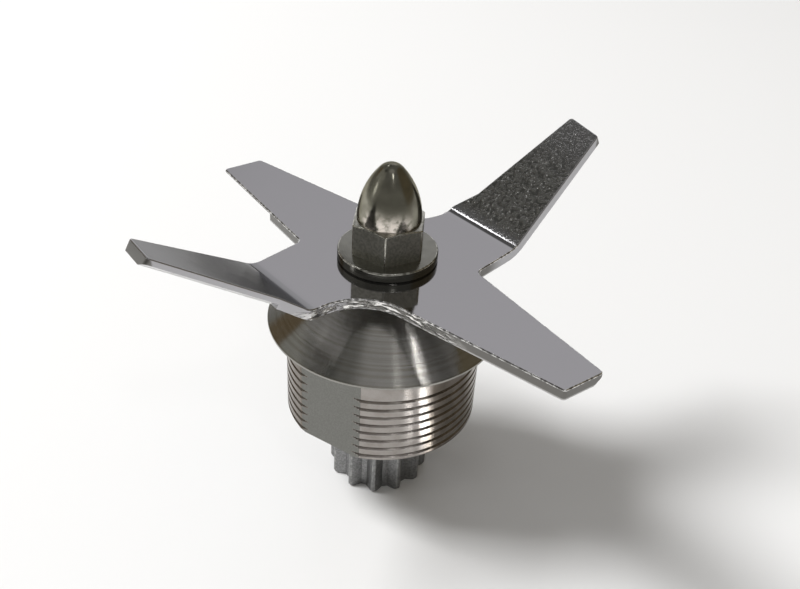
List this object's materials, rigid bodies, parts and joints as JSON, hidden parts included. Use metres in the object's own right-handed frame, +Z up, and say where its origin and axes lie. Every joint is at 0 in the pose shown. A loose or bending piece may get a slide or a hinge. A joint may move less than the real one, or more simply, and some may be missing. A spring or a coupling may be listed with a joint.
{
  "type": "blender blade assembly",
  "caption": "Blender blade assembly: a cross of flat and bent arms under a domed cap nut, on a bearing housing with a conical top, flange and threaded skirt, and a toothed drive spline below.",
  "frame": {"origin": "on the shaft axis, at the lower end face of the drive spline", "axes": "+Z up the shaft towards the cap nut; +X to the right and +Y away as pictured"},
  "size_m": [0.0648, 0.0574, 0.0562],
  "materials": {
    "nut_steel": "bright turned stainless steel",
    "blade_steel": "mirror polished stainless steel",
    "housing_steel": "fine turned stainless steel",
    "spline_steel": "dull sintered steel",
    "shaft_steel": "ground steel",
    "bearing_steel": "polished bearing steel",
    "pressed_steel": "pressed sheet steel",
    "spring_steel": "dark spring steel",
    "seal_rubber": "matte nitrile rubber"
  },
  "bodies": {
    "housing": {"housing": "housing_steel", "seal_case": "pressed_steel", "seal_lip": "seal_rubber", "garter_spring": "spring_steel", "upper_outer_ring": "bearing_steel", "upper_shields": "pressed_steel", "lower_outer_ring": "bearing_steel", "lower_shields": "pressed_steel", "outer_spacer": "shaft_steel", "retaining_ring": "spring_steel"},
    "rotor": {"cap_nut": "nut_steel", "blade_washer": "nut_steel", "blade": "blade_steel", "blade_collar": "shaft_steel", "shaft": "shaft_steel", "drive_spline": "spline_steel", "upper_inner_ring": "bearing_steel", "lower_inner_ring": "bearing_steel", "inner_spacer": "shaft_steel"},
    "upper_ball_set": {"upper_balls": "bearing_steel", "upper_cage": "pressed_steel"},
    "lower_ball_set": {"lower_balls": "bearing_steel", "lower_cage": "pressed_steel"}
  },
  "joints": [
    {"name": "blade_spin", "type": "hinge", "parent": "housing", "child": "rotor", "pos_m": [0, 0, 0.025], "axis": [0, 0, 1], "continuous": true},
    {"name": "upper_ball_set_spin", "type": "hinge", "parent": "housing", "child": "upper_ball_set", "pos_m": [0, 0, 0.025], "axis": [0, 0, 1], "continuous": true},
    {"name": "lower_ball_set_spin", "type": "hinge", "parent": "housing", "child": "lower_ball_set", "pos_m": [0, 0, 0.025], "axis": [0, 0, 1], "continuous": true}
  ],
  "couplings": [
    {"joint": "upper_ball_set_spin", "follows": "blade_spin", "ratio": 0.36767},
    {"joint": "lower_ball_set_spin", "follows": "blade_spin", "ratio": 0.36767}
  ]
}
